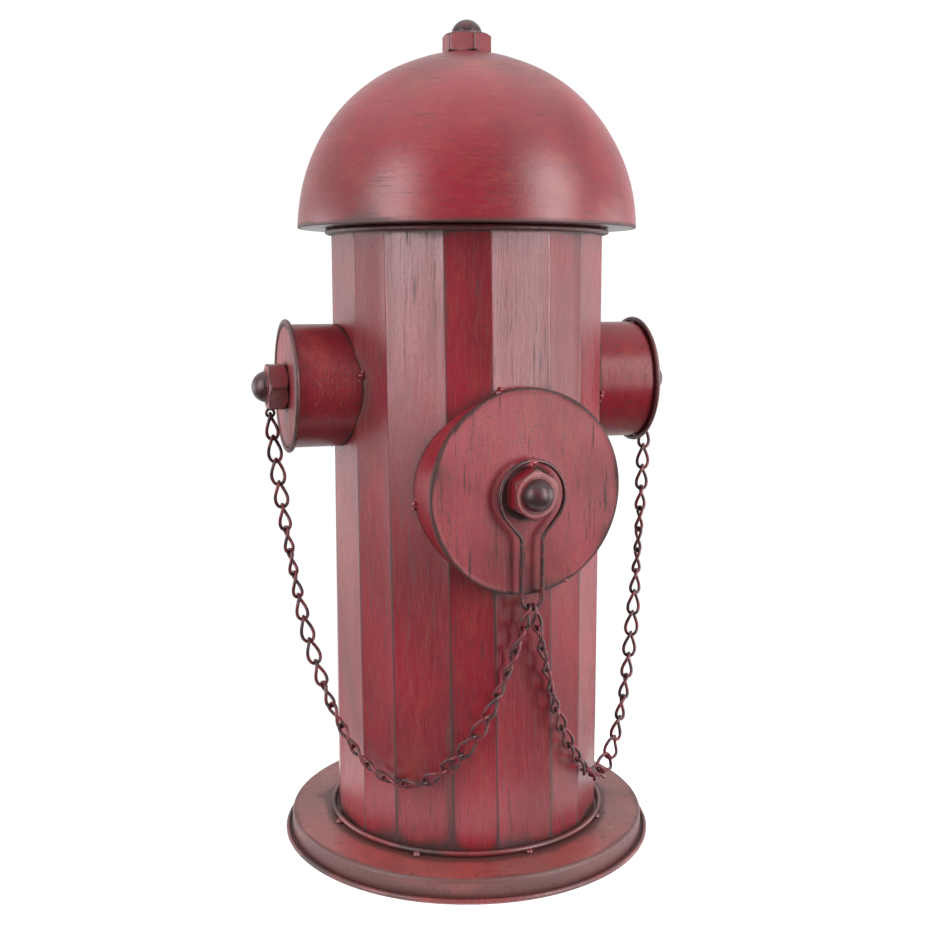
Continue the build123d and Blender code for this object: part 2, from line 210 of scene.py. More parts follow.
def tube_points(path: np.ndarray, radius: float | np.ndarray, sides: int, closed: bool) -> np.ndarray:
    """Round tube along a path: each ring lies across the path, in axes carried along it without twist.

    Args:
        path: points (n, 3) of the middle line.
        radius: radius of the tube, one value or one for each point.
        sides: points round the tube.
        closed: whether the path joins up.

    Returns:
        Points (n, sides, 3), with the ends drawn to a point on an open path.
    """
    ahead = np.roll(path, -1, axis=0) - np.roll(path, 1, axis=0)
    if not closed:
        ahead[0], ahead[-1] = path[1] - path[0], path[-1] - path[-2]
    ahead /= np.linalg.norm(ahead, axis=1, keepdims=True)
    side = np.cross(ahead[0], (0.31, 0.52, 0.79))
    sides_along = []
    for way in ahead:
        side = side - (side @ way) * way
        side = side / np.linalg.norm(side)
        sides_along.append(side)
    first = np.array(sides_along)
    second = np.cross(ahead, first)
    angle = np.linspace(0, 2 * math.pi, sides, endpoint=False)
    if closed:
        back = math.atan2(float(first[0] @ second[-1]), float(first[0] @ first[-1]))
        angle = angle + back * np.linspace(0, 1, len(path), endpoint=False)[:, None]
    else:
        angle = np.broadcast_to(angle, (len(path), sides))
    wide = np.broadcast_to(np.asarray(radius, float), (len(path),)).copy()
    if not closed:
        wide[0] = wide[-1] = 0.0
    round_it = np.cos(angle)[..., None] * first[:, None] + np.sin(angle)[..., None] * second[:, None]
    return path[:, None] + wide[:, None, None] * round_it


@dataclass
class Surface:
    """Grid of points (n, m, 3) that closes on itself along either side, and a value of worn paint, dirt and
    painted shade for each point.
    """

    points: np.ndarray
    wear_and_shade: np.ndarray
    close_rows: bool = True
    close_columns: bool = True

    def faces(self, start: int) -> np.ndarray:
        """Four-sided faces between neighbouring rows and columns, with indices from start."""
        rows, columns = self.points.shape[:2]
        index = start + np.arange(rows * columns).reshape(rows, columns)
        wrapped = index
        if self.close_rows:
            wrapped = np.concatenate([wrapped, wrapped[:1]], axis=0)
        if self.close_columns:
            wrapped = np.concatenate([wrapped, wrapped[:, :1]], axis=1)
        quads = np.stack([wrapped[:-1, :-1], wrapped[1:, :-1], wrapped[1:, 1:], wrapped[:-1, 1:]], axis=-1)
        return quads.reshape(-1, 4)


def make_piece(name: str, surfaces: list[Surface]) -> bpy.types.Object:
    """Object from one or more grids. Poles and doubles are merged and faces turned outwards.

    Args:
        name: name of the object.
        surfaces: the grids, each a closed skin of its own.

    Returns:
        The object, with a value of worn paint, dirt and painted shade on its points.
    """
    points = np.concatenate([surface.points.reshape(-1, 3) for surface in surfaces])
    shapes = [surface.points.shape[:2] for surface in surfaces]
    pairs = zip(surfaces, shapes)
    wear_and_shade = np.concatenate([np.broadcast_to(surface.wear_and_shade, shape).ravel() for surface, shape in pairs])
    starts = np.cumsum([0] + [rows * columns for rows, columns in shapes])
    faces = np.concatenate([surface.faces(int(start)) for surface, start in zip(surfaces, starts)])
    mesh = bpy.data.meshes.new(name)
    mesh.from_pydata(points.tolist(), [], faces.tolist())
    mesh.attributes.new("wear_and_shade", "FLOAT", "POINT").data.foreach_set("value", wear_and_shade.astype(np.float32))
    shape = bmesh.new()
    shape.from_mesh(mesh)
    bmesh.ops.remove_doubles(shape, verts=shape.verts, dist=0.004 * MM)
    bmesh.ops.dissolve_degenerate(shape, edges=shape.edges, dist=0.002 * MM)
    bmesh.ops.recalc_face_normals(shape, faces=shape.faces)
    shape.to_mesh(mesh)
    shape.free()
    mesh.polygons.foreach_set("use_smooth", np.ones(len(mesh.polygons), bool))
    mesh.set_sharp_from_angle(angle=SHARP_ANGLE)
    mesh.validate()
    piece = bpy.data.objects.new(name, mesh)
    bpy.context.scene.collection.objects.link(piece)
    return piece


def near(distance: np.ndarray, reach: float) -> np.ndarray:
    """Darkness that falls off from 1 with distance, for worn paint, dirt and painted shade: exp(-(d /
    reach)).
    """
    return np.exp(-np.abs(distance) / reach)


# ---- shader maths and finishes ----


class Value:
    """A number that varies over a surface, with operators that add Math nodes."""

    def __init__(self, tree: "NodeTree", socket: bpy.types.NodeSocket) -> None:
        """Wraps an output socket."""
        self.tree, self.socket = tree, socket

    def _math(self, operation: str, *terms: "Value | float", clamp: bool = False) -> "Value":
        """Adds one Math node."""
        return self.tree.add("ShaderNodeMath", {"operation": operation, "use_clamp": clamp}, *terms)

    def __add__(self, other: "Value | float") -> "Value":
        """Sum."""
        return self._math("ADD", self, other)

    def __mul__(self, other: "Value | float") -> "Value":
        """Product."""
        return self._math("MULTIPLY", self, other)

    def __sub__(self, other: "Value | float") -> "Value":
        """Difference."""
        return self._math("SUBTRACT", self, other)

    def __rsub__(self, other: float) -> "Value":
        """Difference from a number."""
        return self._math("SUBTRACT", other, self)

    __radd__ = __add__
    __rmul__ = __mul__

    def clamped(self) -> "Value":
        """Held between 0 and 1."""
        return self._math("ADD", self, 0.0, clamp=True)

    def step(self, low: float, high: float) -> "Value":
        """0 below low, 1 above high, and smooth between them."""
        settings = {"interpolation_type": "SMOOTHSTEP"}
        return self.tree.add("ShaderNodeMapRange", settings, self, low, high, 0.0, 1.0)


class NodeTree:
    """Builds the nodes of a material or of the world."""

    def __init__(self, owner: bpy.types.Material | bpy.types.World, shader: str) -> None:
        """Switches the owner's nodes on and finds the shader that comes with them."""
        owner.use_nodes = True
        self.owner, self.nodes, self.links = owner, owner.node_tree.nodes, owner.node_tree.links
        self.shader = self.nodes[shader]

    def add(
        self, kind: str, settings: dict, *inputs: object, output: str | int = 0, **named: object
    ) -> Value:
        """Adds a node.

        Args:
            kind: the node's type.
            settings: properties set before the sockets.
            *inputs: values or links of its sockets in order; None leaves one alone.
            output: the socket to give back.
            **named: values or links of sockets by name.

        Returns:
            The output, wrapped.
        """
        node = self.nodes.new(kind)
        for key, value in settings.items():
            setattr(node, key, value)
        for key, value in [*enumerate(inputs), *named.items()]:
            self.plug(node.inputs[key], value)
        return Value(self, node.outputs[output])

    def plug(self, socket: bpy.types.NodeSocket, value: object) -> None:
        """Sets or links a socket; None leaves it alone."""
        if isinstance(value, Value):
            self.links.new(value.socket, socket)
        elif value is not None:
            socket.default_value = value

    def feed(self, name: str, value: object) -> None:
        """Sets or links one of the shader's sockets."""
        self.plug(self.shader.inputs[name], value)


class PaintTree(NodeTree):
    """Nodes of a material with a Principled shader."""

    def __init__(self, name: str) -> None:
        """Makes a material of that name."""
        super().__init__(bpy.data.materials.new(name), "Principled BSDF")
        self.place = self.add("ShaderNodeTexCoord", {}, output="Object")

    def noise(self, scale: float, grain: tuple[float, float, float], detail: float, rough: float) -> Value:
        """Noise on object coordinates, drawn out by grain, around 0.5."""
        where = self.add("ShaderNodeMapping", {}, self.place, Scale=grain)
        settings = {"noise_dimensions": "3D"}
        sockets = {"Vector": where, "Scale": scale, "Detail": detail, "Roughness": rough}
        return self.add("ShaderNodeTexNoise", settings, **sockets)

    def blend(self, share: Value | float, first: object, second: object) -> Value:
        """Colour between first and second."""
        unused = (None,) * 5
        return self.add("ShaderNodeMix", {"data_type": "RGBA"}, share, *unused, first, second, output=2)


@dataclass(frozen=True)
class RubbedPaint:
    """Satin red paint over sheet steel, glazed with a brown-black stain that is rubbed off along the grain;
    the same dark colour also paints shade where the point values mark it.

    Fields are linear colours and shares between 0 and 1.
    """

    name: str
    grain: Grain
    red: tuple[float, float, float] = (0.225, 0.011, 0.022)
    deep: tuple[float, float, float] = (0.150, 0.007, 0.014)
    warm: tuple[float, float, float] = (0.300, 0.045, 0.024)
    # Dark glaze colour, which also paints shade where the point values mark it.
    stain_and_shade: tuple[float, float, float] = (0.030, 0.012, 0.011)
    rubbed: tuple[float, float, float] = (0.330, 0.110, 0.100)
    streaks: float = 0.60
    specks: float = 0.55
    stain_and_shade_share: float = 0.9
    warmth: float = 0.35
    roughness: float = 0.30
    sheen: float = 0.60
    bump: float = 0.14

    def build(self) -> bpy.types.Material:
        """Builds the material.

        Returns:
            A Principled material. Base colour runs from red to deep and warm by broad noise, then takes on
            streaks of stain along the grain, dark specks, and stain wherever the value of dirt and painted
            shade is high.
        """
        tree = PaintTree(self.name)
        wear_and_shade = tree.add("ShaderNodeAttribute", {"attribute_name": "wear_and_shade"}, output="Fac")
        along = self.grain.value
        broad = tree.noise(24.0, (1, 1, 0.6), 3.0, 0.5)
        tall = 1.8 if self.grain is Grain.LEVEL else 0.4
        patch = tree.noise(75.0, (1, 1, tall), 4.0, 0.6)
        wisps = tree.noise(330.0, along, 5.0, 0.7)
        brushed = tree.noise(1100.0, along, 4.0, 0.65)
        hairs = tree.noise(2300.0, along, 3.0, 0.6)
        dots = tree.noise(1500.0, (1, 1, 0.7), 2.0, 0.5)
        grit = tree.noise(3400.0, (1, 1, 1), 2.0, 0.6)

        colour = tree.blend(broad.step(0.36, 0.64), (*self.red, 1), (*self.deep, 1))
        colour = tree.blend(patch.step(0.50, 0.72) * self.warmth, colour, (*self.warm, 1))
        light = hairs.step(0.50, 0.64) * brushed.step(0.40, 0.58) * (self.streaks * 0.45)
        colour = tree.blend(light, colour, (*self.rubbed, 1))
        dark = brushed.step(0.53, 0.61) * wisps.step(0.50, 0.60) * self.streaks
        fine = hairs.step(0.58, 0.66) * (0.2 + patch * 0.7) * self.streaks
        speck = dots.step(0.60, 0.66) * patch.step(0.40, 0.54) * self.specks
        mottle = grit.step(0.50, 0.64) * (0.22 + patch * 0.45)
        # Painted shade: the point values also mark shaded gaps on some pieces, so this mask lays the dark
        # glaze there as painted shade as well as dirt.
        grime_and_shade = (wear_and_shade * (0.35 + wisps * 0.8 + brushed * 0.6)).step(0.24, 0.66) * self.stain_and_shade_share
        stain_and_shade_mask = 1.0 - (1.0 - dark) * (1.0 - fine) * (1.0 - speck) * (1.0 - grime_and_shade) * (1.0 - mottle)
        colour = tree.blend(stain_and_shade_mask.clamped(), colour, (*self.stain_and_shade, 1))
        tree.feed("Base Color", colour)

        rough = self.roughness + (brushed - 0.5) * 0.25 + (broad - 0.5) * 0.10 + grime_and_shade * 0.25 + dark * 0.2
        tree.feed("Roughness", rough.clamped())
        height = brushed * 0.5 + hairs * 0.3 + grit * 0.3 + dots * 0.3 - speck * 0.4
        tree.feed("Normal", tree.add("ShaderNodeBump", {}, self.bump, 0.0006, Height=height))
        tree.feed("Specular IOR Level", self.sheen)
        return tree.owner


@dataclass(frozen=True)
class DarkMetal:
    """Dark rubbed paint on balls, chain and wire, with red left in places and bare highlights."""

    name: str
    dark: tuple[float, float, float] = (0.045, 0.022, 0.024)
    red: tuple[float, float, float] = (0.145, 0.020, 0.026)
    worn: tuple[float, float, float] = (0.230, 0.165, 0.160)
    red_share: float = 0.5
    worn_share: float = 0.25
    metallic: float = 0.35
    roughness: float = 0.36

    def build(self) -> bpy.types.Material:
        """Builds the material: dark paint, red patches by noise, pale rubbed flecks and a gritty bump."""
        tree = PaintTree(self.name)
        patch = tree.noise(240.0, (1, 1, 1), 4.0, 0.6)
        fleck = tree.noise(900.0, (1, 1, 1), 4.0, 0.65)
        grit = tree.noise(2600.0, (1, 1, 1), 3.0, 0.6)
        red = patch.step(0.58 - 0.2 * self.red_share, 0.68 - 0.12 * self.red_share)
        colour = tree.blend(red * 0.9, (*self.dark, 1), (*self.red, 1))
        bare = fleck.step(0.60, 0.72) * self.worn_share
        colour = tree.blend(bare, colour, (*self.worn, 1))
        tree.feed("Base Color", colour)
        tree.feed("Metallic", (self.metallic + bare * 0.5).clamped())
        tree.feed("Roughness", (self.roughness + (grit - 0.5) * 0.3 + (fleck - 0.5) * 0.2).clamped())
        bumped = tree.add("ShaderNodeBump", {}, 0.25, 0.0005, Height=grit * 0.6 + fleck * 0.5)
        tree.feed("Normal", bumped)
        return tree.owner


class Finishes:
    """Every material, built once."""

    def __init__(self) -> None:
        """Builds them all."""
        self.body = RubbedPaint("body_paint", Grain.UPRIGHT).build()
        self.dome = RubbedPaint(
            "dome_paint", Grain.LEVEL, streaks=0.55, specks=0.30, roughness=0.33, sheen=0.5, stain_and_shade_share=0.8
        ).build()
        self.drum = RubbedPaint(
            "drum_paint", Grain.UPRIGHT, red=(0.20, 0.008, 0.017), streaks=0.65, specks=0.8, sheen=0.25
        ).build()
        red = (0.25, 0.022, 0.034)
        self.cap = RubbedPaint(
            "cap_paint", Grain.UPRIGHT, red=red, streaks=0.95, specks=0.7, roughness=0.42, sheen=0.38
        ).build()
        self.base = RubbedPaint(
            "base_paint",
            Grain.ALL_WAYS,
            red=(0.24, 0.040, 0.038),
            deep=(0.17, 0.034, 0.030),
            warm=(0.26, 0.08, 0.055),
            rubbed=(0.33, 0.20, 0.18),
            streaks=0.7,
            specks=0.8,
            warmth=0.6,
            roughness=0.34,
            stain_and_shade_share=0.7,
        ).build()
        self.nut = RubbedPaint("nut_paint", Grain.ALL_WAYS, streaks=0.5, warmth=0.5, roughness=0.33).build()
        self.rim = RubbedPaint(
            "rim_paint", Grain.ALL_WAYS, red=(0.16, 0.02, 0.024), deep=(0.09, 0.012, 0.014), streaks=0.8
        ).build()
        red = (0.085, 0.020, 0.026)
        self.ball = DarkMetal("ball_dark", red=red, red_share=0.3, worn_share=0.2, roughness=0.32).build()
        red = (0.11, 0.022, 0.024)
        self.wire = DarkMetal("hanger_wire", red=red, red_share=0.6, worn_share=0.3, roughness=0.3).build()
        self.chain = DarkMetal("chain_wire", red_share=0.8, worn_share=0.15, roughness=0.32).build()
        # Painted shade: the plate under the lid is painted near-black red, for the shadowed gap between lid
        # and body.
        dark = {"red": (0.06, 0.02, 0.02), "deep": (0.03, 0.01, 0.01)}
        self.under = RubbedPaint("plate_paint", Grain.ALL_WAYS, **dark).build()


class Workshop:
    """Adds pieces: gives each its body and material, and hides the CAD node that it stands for."""

    def __init__(self) -> None:
        """Starts an empty count and builds the finishes."""
        self.finishes = Finishes()
        self.count = 0

    def add(
        self,
        name: str,
        surfaces: list[Surface],
        finish: bpy.types.Material,
        slot: Slot,
        node: str,
        body: Body = Body.HYDRANT,
    ) -> None:
        """Makes a piece and hands it over.

        Args:
            name: name of the piece.
            surfaces: its grids.
            finish: its material.
            slot: its slot in the record; not used.
            node: the CAD node that it stands for.
            body: the body that it moves with.
        """
        self.hand_over(make_piece(name, surfaces), finish, slot, node, body)

    def hand_over(
        self,
        piece: bpy.types.Object,
        finish: bpy.types.Material,
        slot: Slot,
        node: str,
        body: Body = Body.HYDRANT,
    ) -> None:
        """Dresses a piece, parents it to the body that it rides on and hides the node that it stands for."""
        piece.data.materials.clear()
        piece.data.materials.append(finish)
        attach(piece, body.value)
        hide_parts(node)
        self.count += 1
        LOG.info("%s: %d faces on %s", piece.name, len(piece.data.polygons), body.value)


# ---- outlets' sizes, shared by the body and the outlets ----


@dataclass(frozen=True)
class OutletSize:
    """Sizes of one outlet, in metres and degrees."""

    side: str
    azimuth: float
    height: float
    drum: float
    reach: float
    tacks: tuple[float, ...]


LEFT = OutletSize("left", 180.0, 206.4 * MM, 26.5 * MM, 81.5 * MM, (12, 132, 252))
RIGHT = OutletSize("right", 0.0, 206.1 * MM, 26.5 * MM, 81.5 * MM, (192, 72, 312))
FRONT = OutletSize("front", -84.0, 165.8 * MM, 41.9 * MM, 63.2 * MM, (105, 187, 300))
OUTLETS = (LEFT, RIGHT, FRONT)
BODY_RADIUS = 60.0 * MM
SHEET = 0.8 * MM
COPE_RADIUS = 58.9 * MM  # the drums' ends run into the body's sheet
NUT_FLATS = 19.0 * MM
NUT_CORNER = NUT_FLATS / 2 / math.cos(math.radians(30))
NUT_HEIGHT = 8.4 * MM
BALL_RADIUS = 6.9 * MM
BALL_LEVEL = 7.9 * MM  # middle of a ball above the nut's inner face
WELD_WEAR_RADIUS = 10.6 * MM  # stain gathers here round a nut


def outlet_distance(points: np.ndarray, outlet: OutletSize) -> tuple[np.ndarray, np.ndarray]:
    """Distance of points from an outlet's axis, and how far out along it they lie."""
    place = outlet_place(outlet.azimuth, 0.0, outlet.height)
    local = points - np.array(place.origin)
    across, up, out = (local @ np.array(way) for way in (place.across, place.up, place.out))
    return np.hypot(across, up), out


@dataclass
class FoldedBody:
    """Sheet tube of narrow and wide flat facets that turn a little from foot to mouth."""

    workshop: Workshop
    narrow: float = 18.0
    narrow_count: int = 9
    front_facet: float = -103.4
    twist: float = 3.9
    lap_angle: float = 6.0
    fold_half: float = 0.55  # degrees on each side of a fold where the sheet bends
    levels: int = 110

    def build(self) -> None:
        """Makes the tube and the wire round its mouth."""
        low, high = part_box("body_shell")
        outside, wear_and_shade = self.skin(BODY_RADIUS, SHEET, low.z, high.z)
        inside, _ = self.skin(BODY_RADIUS - SHEET, 0.0, low.z, high.z)
        shell = np.concatenate([outside, inside[::-1]], axis=0)
        both = np.concatenate([wear_and_shade, wear_and_shade[::-1] * 0.5], axis=0)
        finish = self.workshop.finishes.body
        self.workshop.add("body_shell_skin", [Surface(shell, both)], finish, Slot.RED, "body_shell")
        self.mouth_ring()

    def angles(self) -> tuple[np.ndarray, np.ndarray, np.ndarray]:
        """Directions of the outline's points, from the seam, and what lies there.

        Returns:
            The direction in degrees from the seam, the radius as a share of the radius over the folds, and
            the distance to the nearest fold in degrees. On a flat facet the radius is cos(half) / cos(angle
            from its middle).
        """
        wide = (360 - self.narrow * self.narrow_count) / (self.narrow_count - 1)
        turns, shares, folds = [], [], []
        start = 0.0
        for index in range(2 * self.narrow_count - 1):
            width = wide if index % 2 else self.narrow
            steps = np.concatenate([[0.0, 0.5, 1.0], np.linspace(1.6, width / self.fold_half - 1.6, 12)])
            steps = np.concatenate([steps, [width / self.fold_half - 1.0, width / self.fold_half - 0.5]])
            local = steps * self.fold_half
            from_middle = local - width / 2
            flat = math.cos(math.radians(width / 2)) / np.cos(np.radians(from_middle))
            to_fold = np.minimum(local, width - local)
            bend = 1 - 0.00070 * np.maximum(0, 1 - to_fold / self.fold_half) ** 2
            turns.append(start + local)
            shares.append(flat * bend)
            folds.append(to_fold)
            start += width
        return np.concatenate(turns), np.concatenate(shares), np.concatenate(folds)

    def skin(self, radius: float, lap: float, low: float, high: float) -> tuple[np.ndarray, np.ndarray]:
        """One side of the sheet.

        Args:
            radius: radius over the folds.
            lap: how far the seam's lap stands out.
            low: height of the foot.
            high: height of the mouth.

        Returns:
            Points (levels, outline, 3) and their darkness, high along the folds, the seam and the two ends,
            and round the drums, where it is painted shade.
        """
        turn, share, to_fold = self.angles()
        level = np.linspace(0, 1, self.levels)[:, None]
        height = low + (high - low) * level
        first = self.front_facet - 180
        angle = np.radians(first + turn[None] - self.twist * level)
        away = radius * share[None] * np.ones_like(level)
        lapped = (turn < self.lap_angle)[None] & (level > 0.016) & (level < 0.985)
        away = away + np.where(lapped, lap * 0.9, 0.0)
        points = stacked(away * np.cos(angle), away * np.sin(angle), height)
        dent = wander(points * np.array([1, 1, 0.35]), 0.16 * MM, 34 * MM, 5) - 0.12 * MM
        middle = np.clip(to_fold / 3.0, 0, 1)[None]
        edge = np.clip(np.minimum(level, 1 - level) / 0.04, 0, 1)
        points[..., 0] += dent * middle * edge * np.cos(angle)
        points[..., 1] += dent * middle * edge * np.sin(angle)
        arc = np.radians(to_fold)[None] * radius
        low_down = np.clip((high - height) / (high - low) * 1.6, 0.35, 1.0)
        wear_and_shade = (0.62 * near(arc, 0.30 * MM) + 0.20 * near(arc, 2.2 * MM)) * low_down
        wear_and_shade = wear_and_shade + 0.06 + wander(points * np.array([1, 1, 0.4]), 0.32, 30 * MM, 17)
        to_lap = np.radians(np.abs(turn - self.lap_angle))[None] * radius
        wear_and_shade = np.maximum(wear_and_shade, 0.8 * near(to_lap, 0.8 * MM))
        wear_and_shade = wear_and_shade + 0.9 * near(high - height, 1.6 * MM) + 0.75 * near(height - low, 4.5 * MM)
        # Painted shade: the sheet darkens in a band round each drum, for the shade in the gap where the drum
        # meets the body.
        for outlet in OUTLETS:
            off_axis, out = outlet_distance(points, outlet)
            seam = 0.30 * near(off_axis - outlet.drum, 3.0 * MM)
            wear_and_shade = wear_and_shade + np.where(out > 0, seam, 0.0)
        return points, np.clip(wear_and_shade, 0, 1)

    def mouth_ring(self) -> None:
        """Wire rolled round the mouth, slightly uneven."""
        low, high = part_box("mouth_ring")
        thick = (high.z - low.z) / 2
        radius = (high.x - low.x) / 2 - thick
        path = unit_circle(180) * radius + np.array([0, 0, (low.z + high.z) / 2])
        ring = Surface(tube_points(path, thick * 0.98, 12, True), np.array(0.45))
        self.workshop.add("mouth_ring_wire", [ring], self.workshop.finishes.rim, Slot.WIRE_EDGE, "mouth_ring")


@dataclass
class Base:
    """Round pan with a turned-down wall and lip, the wire round it and the wire round the body's foot."""

    workshop: Workshop
    corner: float = 2.0 * MM
    segments: int = 288

    def build(self) -> None:
        """Makes the pan, the two wire rings and their tacks."""
        low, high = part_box("base_pan")
        lip = (high.x - low.x) / 2
        wall = lip - 1.0 * MM
        top = high.z
        sheet = SHEET
        outline = rounded(
            [
                (0, top, 0),
                (wall, top, self.corner),
                (wall, sheet, 0.4 * MM),
                (lip, sheet, 0.3 * MM),
                (lip, 0, 0.3 * MM),
                (wall - sheet, 0, 0.3 * MM),
                (wall - sheet, top - sheet, self.corner - sheet),
                (0, top - sheet, 0),
            ],
            steps=5,
        )
        outline = densified(outline, 2.2 * MM)
        points = ring_points(outline, self.segments)
        radius = np.hypot(points[..., 0], points[..., 1])
        dish = wander(points, 0.22 * MM, 60 * MM, 11) * np.clip((radius - 0.064) / 0.006, 0, 1)
        on_top = (points[..., 2] > top - 0.6 * MM) & (radius < wall - 3 * MM)
        points[..., 2] -= np.where(on_top, np.abs(dish), 0)
        foot = (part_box("foot_ring")[1].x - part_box("foot_ring")[0].x) / 2
        # Painted shade: the pan darkens in a band by the foot ring, for the ring's shadow, and at the wall's
        # foot and lip by the rim ring, for the shade in the gap; the dark line along the pan's top corner is
        # stain.
        wear_and_shade = 0.9 * near(radius - foot, 2.0 * MM) + 0.95 * near(radius - wall + 0.6 * MM, 0.9 * MM)
        wear_and_shade = wear_and_shade + near(points[..., 2] - sheet, 1.2 * MM) * (radius > wall - 0.5 * MM)
        wear_and_shade = wear_and_shade + 0.16 + wander(points, 0.26, 28 * MM, 21)
        finishes = self.workshop.finishes
        pan = Surface(points, np.clip(wear_and_shade, 0, 1))
        self.workshop.add("base_pan_sheet", [pan], finishes.base, Slot.BASE, "base_pan")
        for node, seed in (("base_rim_ring", 3), ("foot_ring", 4)):
            self.wire_ring(node, seed)
        self.tacks()

    def wire_ring(self, node: str, seed: int) -> None:
        """Wire ring in place of a CAD ring, with its radius wandering by a tenth of a millimetre."""
        low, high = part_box(node)
        thick = (high.z - low.z) / 2
        radius = (high.x - low.x) / 2 - thick
        circle = unit_circle(240)
        uneven = wander(circle * radius, 0.12 * MM, 45 * MM, seed)
        path = circle * (radius - 0.12 * MM + uneven)[:, None]
        path[:, 2] += (low.z + high.z) / 2
        tube = tube_points(path, thick * 0.97, 12, True)
        shade = 0.35 + wander(path, 0.5, 25 * MM, seed + 7)
        ring = Surface(tube, np.broadcast_to(np.clip(shade, 0, 1)[:, None], tube.shape[:2]))
        self.workshop.add(f"{node}_wire", [ring], self.workshop.finishes.rim, Slot.WIRE_EDGE, node)

    def tacks(self) -> None:
        """Weld beads that hold the foot ring to the pan."""
        low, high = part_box("foot_ring_tacks")
        radius = (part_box("foot_ring")[1].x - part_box("foot_ring")[0].x) / 2 - 0.5 * MM
        beads = []
        for index in range(8):
            angle = math.radians(8 + 45 * index)
            centre = (radius * math.cos(angle), radius * math.sin(angle), (low.z + high.z) / 2)
            beads.append(weld_bead(centre, (1.9 * MM, 1.9 * MM, 1.0 * MM), index))
        finish = self.workshop.finishes.rim
        self.workshop.add("foot_ring_weld_beads", beads, finish, Slot.WIRE_EDGE, "foot_ring_tacks")


def weld_bead(centre: tuple[float, float, float], half: tuple[float, float, float], seed: int) -> Surface:
    """Lumpy bead: a ball drawn out to half along each axis, its radius uneven by up to a quarter."""
    ball = unit_ball(13, 20)
    lumps = 0.86 + wander(ball, 0.28, 1.6, 100 + seed)
    points = ball * np.minimum(lumps, 1.0)[..., None] * np.array(half) + np.array(centre)
    return Surface(points, np.array(0.15), close_rows=False)


def drum_skin(outlet: OutletSize, radius: float, end: float, inner: bool) -> np.ndarray:
    """Tube wall from its coped end, out = sqrt(cope^2 - across^2), to a straight end."""
    angle = np.linspace(0, 2 * math.pi, 128, endpoint=False)
    across, up = radius * np.cos(angle), radius * np.sin(angle)
    start = np.sqrt(COPE_RADIUS**2 - across**2)
    share = np.linspace(0, 1, 40)[:, None]
    out = start + (end - start) * share
    points = stacked(across, up, out)
    return points[::-1] if inner else points


def hex_nut(place: Place, seed: int, turn: float) -> Surface:
    """Hex nut whose outline at each height is the lesser of the hexagon and a cone that cuts its corners.

    Args:
        place: axes on the nut's inner face.
        seed: picks its unevenness.
        turn: angle of a corner from the across axis, in degrees.

    Returns:
        A closed skin that covers the nut's sides and both faces.
    """
    steps = np.concatenate([[0, 0.6, 1.4, 3], np.linspace(6, 54, 9), [57, 58.6, 59.4]])
    local = (steps[None] + 60 * np.arange(6)[:, None]).ravel()
    to_corner = np.minimum(local % 60, 60 - local % 60)
    hexagon = NUT_FLATS / 2 / np.cos(np.radians(local % 60 - 30)) - near(to_corner, 1.6) * 0.18 * MM
    chamfer = 1.15 * MM
    inner = NUT_FLATS / 2 - 0.25 * MM
    half = [(0, 0), (inner, 0), (NUT_CORNER, chamfer)]
    levels = half + [(radius, NUT_HEIGHT - height) for radius, height in half[::-1]]
    profile = densified(np.array(levels), 0.3 * MM, closed=False)
    out, height = profile[:, :1], profile[:, 1:]
    radius = np.minimum(out, hexagon[None])
    angle = np.radians(local + turn)[None]
    points = stacked(radius * np.cos(angle), radius * np.sin(angle), height)
    rise = np.minimum(height, NUT_HEIGHT - height)
    arc = (hexagon - inner)[None] / (NUT_CORNER - inner) * chamfer
    on_side = radius > inner - 0.1 * MM
    wear_and_shade = 0.95 * near(rise - arc, 0.22 * MM) * on_side + 0.15
    wear_and_shade = wear_and_shade + near(to_corner, 1.3)[None] * 0.7 * on_side
    wear_and_shade = wear_and_shade + 0.8 * near(radius - 7.2 * MM, 0.5 * MM) * (rise < 0.1 * MM)
    points = place.put(points)
    points += wander(points, 0.07 * MM, 6 * MM, seed)[..., None] * 0.5
    return Surface(points, np.clip(wear_and_shade, 0, 1), close_rows=False)


def ball_skin(place: Place, radius: float, level: float, seed: int) -> Surface:
    """Ball on a nut: its middle lies at level on the out axis. Slightly uneven, as a cast ball is."""
    shape = unit_ball(41, 64)
    uneven = 1 - 0.012 - np.abs(wander(shape, 0.02, 0.9, seed))
    points = place.put(shape * (radius * uneven)[..., None] + np.array([0, 0, level]))
    return Surface(points, np.array(0.2), close_rows=False)


def weld_collar(place: Place, radius: float, level: float, seed: int) -> Surface:
    """Uneven ring of weld where the ball enters the nut."""
    circle = unit_circle(72)
    path = circle * radius + np.array([0, 0, level])
    thick = 0.55 * MM + wander(circle, 0.45 * MM, 0.7, seed)
    return Surface(tube_points(place.put(path), thick, 8, True), np.array(0.4))


@dataclass
class NutAndBall:
    """Hex nut with a ball sunk in its outer face."""

    workshop: Workshop
    name: str
    place: Place
    turn: float
    body: Body = Body.HYDRANT

    def build(self) -> None:
        """Makes the nut with its ring of weld, and the ball."""
        seed = sum(map(ord, self.name))
        finishes = self.workshop.finishes
        nut = hex_nut(self.place, seed, self.turn)
        collar = weld_collar(self.place, BALL_RADIUS + 0.1 * MM, NUT_HEIGHT, seed)
        node = f"{self.name}_nut"
        self.workshop.add(f"{node}_hex", [nut, collar], finishes.nut, Slot.RED, node, self.body)
        ball = ball_skin(self.place, BALL_RADIUS, BALL_LEVEL, seed)
        node = f"{self.name}_ball"
        self.workshop.add(f"{node}_knob", [ball], finishes.ball, Slot.BALL, node, self.body)


